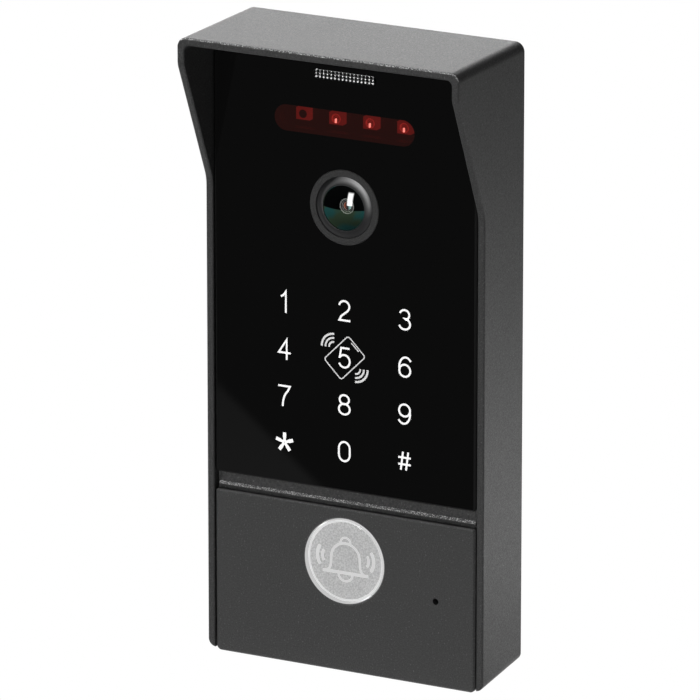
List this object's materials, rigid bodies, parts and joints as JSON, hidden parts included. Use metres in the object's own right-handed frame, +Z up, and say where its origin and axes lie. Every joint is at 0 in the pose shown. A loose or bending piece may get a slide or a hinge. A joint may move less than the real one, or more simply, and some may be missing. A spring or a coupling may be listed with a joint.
{
  "type": "door intercom panel",
  "caption": "Wall-mounted door intercom panel: rain hood, glass front with camera, infrared lamps and touch keypad, and a cover plate with a round bell button.",
  "frame": {"origin": "centre of the rain hood's back face, on the wall", "axes": "+Z up, +X to the right for someone facing the panel, front faces -Y, wall is the plane Y = 0"},
  "size_m": [0.0724, 0.0328, 0.1511],
  "materials": {
    "hood_paint": "fine sand-texture powder coat, dark grey",
    "plate_paint": "fine sand-texture powder coat, dark grey",
    "ring_paint": "fine sand texture",
    "black_rubber": "matte",
    "steel": "plain",
    "spring_steel": "drawn wire",
    "magnet": "dark nickel plate",
    "black_plastic": "moulded",
    "textured_plastic": "fine sparked texture",
    "black_glass": "high-gloss acrylic, black-printed back",
    "foam_tape": "foam",
    "dark_red_window": "dark red infrared-pass acrylic",
    "bright_mesh": "perforated",
    "cone_paper": "treated paper",
    "black_anodised": "black anodised",
    "lens_glass": "coated",
    "chip_black": "moulded",
    "circuit_board": "solder mask",
    "red_lit_board": "black solder mask",
    "flex_circuit": "polyimide",
    "lamp_body": "moulded",
    "white_diffuser": "milky",
    "copper": "enamelled copper wire",
    "terminal_green": "moulded",
    "clear_acrylic": "clear, polished edge",
    "silver_print": "sparkling silver print",
    "aluminium": "plain"
  },
  "bodies": {
    "panel": {"rain_hood": "hood_paint", "wall_gasket": "black_rubber", "cable_grommet": "black_rubber", "hood_fixing_screws": "steel", "rear_housing": "black_plastic", "housing_gasket": "black_rubber", "housing_screws": "steel", "front_housing": "textured_plastic", "glass_panel": "black_glass", "glass_adhesive": "foam_tape", "infrared_window": "dark_red_window", "lower_plate": "plate_paint", "plate_adhesive": "foam_tape", "speaker_mesh": "bright_mesh", "speaker_basket": "steel", "speaker_magnet": "magnet", "speaker_gasket": "foam_tape", "camera_ring": "ring_paint", "lens_barrel": "black_anodised", "lens_front_element": "lens_glass", "lens_baffle": "black_anodised", "lens_inner_element": "lens_glass", "lens_holder": "black_plastic", "image_sensor": "chip_black", "camera_board": "circuit_board", "camera_flex": "flex_circuit", "infrared_board": "red_lit_board", "infrared_lamps": "lamp_body", "light_sensor": "lamp_body", "keypad_board": "circuit_board", "keypad_lamps": "lamp_body", "keypad_light_guide": "white_diffuser", "reader_coil": "copper", "keypad_flex": "flex_circuit", "main_board": "circuit_board", "board_chips": "chip_black", "terminal_block": "terminal_green", "terminal_screws": "steel", "board_screws": "steel", "button_seal": "black_rubber", "button_guide": "white_diffuser", "return_spring": "spring_steel", "switch_body": "black_plastic", "button_lamps": "lamp_body", "microphone": "aluminium", "microphone_boot": "black_rubber"},
    "bell_button": {"bell_button_cap": "clear_acrylic", "bell_button_face": "silver_print", "button_plunger": "white_diffuser"},
    "switch_plunger": {"switch_stem": "black_plastic"},
    "speaker_diaphragm": {"speaker_cone": "cone_paper"}
  },
  "joints": [
    {"name": "bell_press", "type": "slide", "parent": "panel", "child": "bell_button", "axis": [0, 1, 0], "range_m": [0, 0.0005], "stiffness_N_per_m": 1500, "deforming": ["return_spring"]},
    {"name": "switch_press", "type": "slide", "parent": "panel", "child": "switch_plunger", "axis": [0, 1, 0], "range_m": [0, 0.0005]},
    {"name": "diaphragm_travel", "type": "slide", "parent": "panel", "child": "speaker_diaphragm", "axis": [0, -1, 0], "range_m": [-0.0003, 0.0003], "stiffness_N_per_m": 800}
  ],
  "couplings": [
    {"joint": "switch_press", "follows": "bell_press", "ratio": 1}
  ]
}
